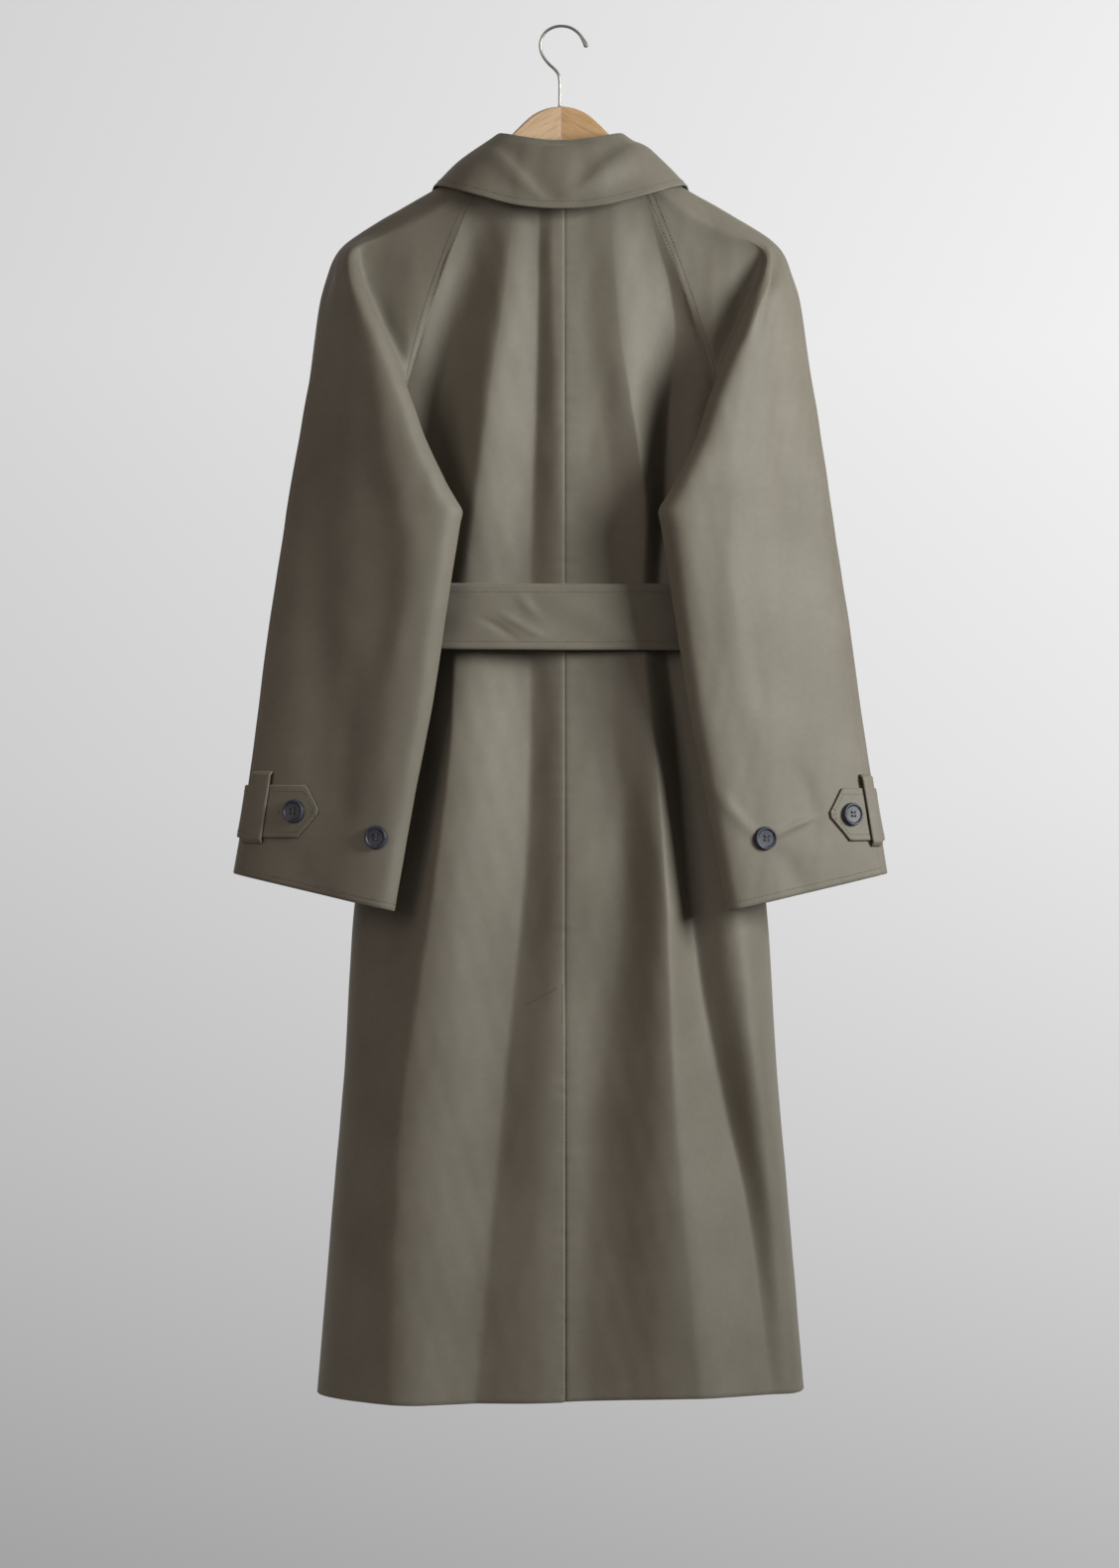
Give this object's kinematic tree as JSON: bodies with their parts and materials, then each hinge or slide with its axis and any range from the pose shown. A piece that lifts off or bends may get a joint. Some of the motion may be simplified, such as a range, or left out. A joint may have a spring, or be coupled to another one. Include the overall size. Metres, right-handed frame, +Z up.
{
  "type": "trench coat on a hanger",
  "caption": "Belted mid-calf raglan trench coat with a fall collar, cuff straps and a back vent, hung on a two-piece wooden hanger with a wire hook.",
  "frame": {"origin": "underside of the crown of the hanger's hook, where a rail or peg carries it", "axes": "+Z up; -Y towards the viewer of the coat's back; +Y towards its closed front and the wall; +X towards the wearer's right"},
  "size_m": [0.6214, 0.1789, 1.3109],
  "materials": {
    "gabardine": "smooth tight cotton twill, olive taupe, faint sheen",
    "button": "satin dark navy",
    "hanger_wood": "clear satin lacquer on pale beech",
    "hook_wire": "bright drawn wire"
  },
  "bodies": {
    "root": {"back_left": "gabardine", "back_right": "gabardine", "vent_underlap": "gabardine", "front_left": "gabardine", "front_right": "gabardine", "sleeve_left_back": "gabardine", "sleeve_left_front": "gabardine", "sleeve_right_back": "gabardine", "sleeve_right_front": "gabardine", "collar": "gabardine", "belt": "gabardine", "belt_knot": "gabardine", "belt_end_left": "gabardine", "belt_end_right": "gabardine", "cuff_strap_left": "gabardine", "cuff_strap_right": "gabardine", "strap_loop_left": "gabardine", "strap_loop_right": "gabardine", "cuff_button_left": "button", "cuff_button_left_spare": "button", "cuff_button_right": "button", "cuff_button_right_spare": "button", "front_button_1": "button", "front_button_2": "button", "front_button_3": "button", "front_button_4": "button", "front_button_5": "button", "hanger_arm_left": "hanger_wood", "hanger_arm_right": "hanger_wood", "hanger_hook": "hook_wire"}
  },
  "joints": []
}
